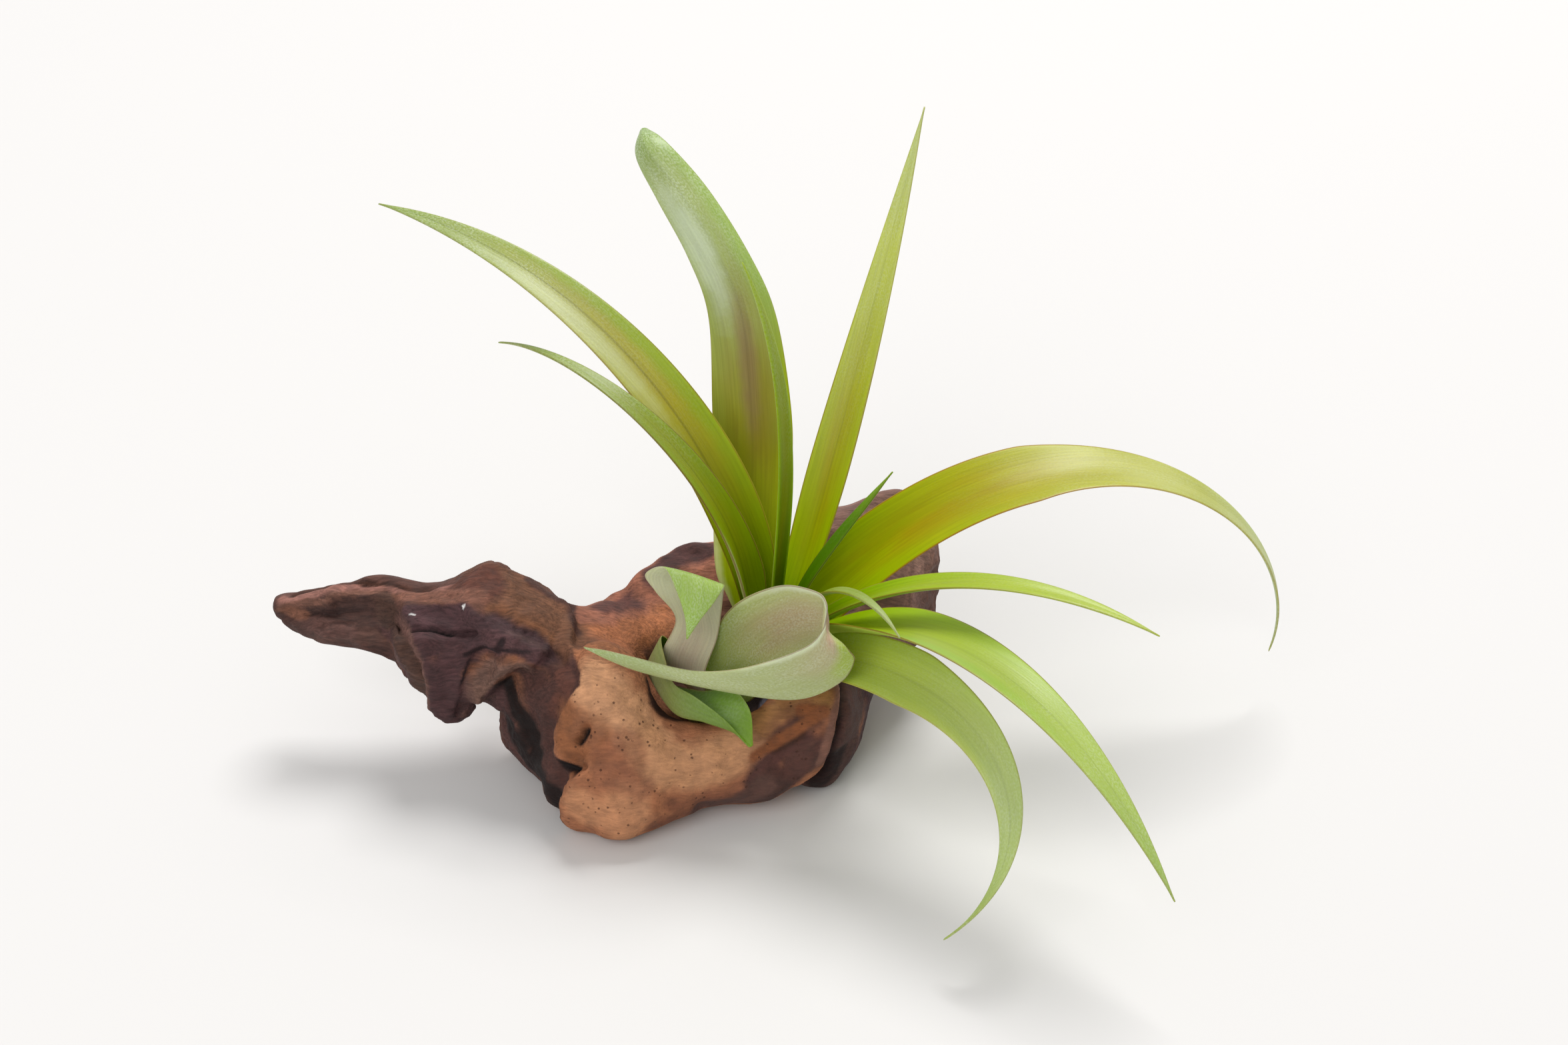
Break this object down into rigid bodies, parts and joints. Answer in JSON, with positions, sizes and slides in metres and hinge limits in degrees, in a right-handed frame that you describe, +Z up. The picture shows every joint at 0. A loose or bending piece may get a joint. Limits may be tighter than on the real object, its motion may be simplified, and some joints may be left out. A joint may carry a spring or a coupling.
{
  "type": "air plant on driftwood",
  "caption": "Rosette of arching strap leaves, one twisted and one folded at the tip, seated in the hollow of a weathered driftwood branch that lies on a surface.",
  "frame": {"origin": "centre of the footprint's box, on the surface that the driftwood lies on", "axes": "+Z up; -Y towards the viewer of the picture; +X to the viewer's right, away from the driftwood's long arm"},
  "size_m": [0.2014, 0.131, 0.1176],
  "materials": {
    "driftwood": "dry weathered wood, sandblasted orange-brown in front and dark brown elsewhere",
    "stem": "matt, dry leaf bases",
    "leaf": "soft satin leaf, yellow-green with a fine grey scurf towards the tip",
    "dark_leaf": "soft satin leaf, dark green",
    "silvery_leaf": "matt grey-green leaf with silvery scales"
  },
  "bodies": {
    "root": {"driftwood": "driftwood", "stem": "stem", "inner_spike_leaf": "dark_leaf", "inner_curl_leaf": "leaf", "inner_narrow_leaf": "dark_leaf", "upper_right_leaf": "leaf", "right_narrow_leaf": "leaf", "left_narrow_leaf": "leaf", "right_arch_leaf": "leaf", "upper_left_leaf": "leaf", "front_right_leaf": "leaf", "back_broad_leaf": "leaf", "front_curved_leaf": "leaf", "front_twisted_leaf": "silvery_leaf", "folded_tip_leaf": "silvery_leaf", "low_front_leaf": "silvery_leaf"}
  },
  "joints": []
}
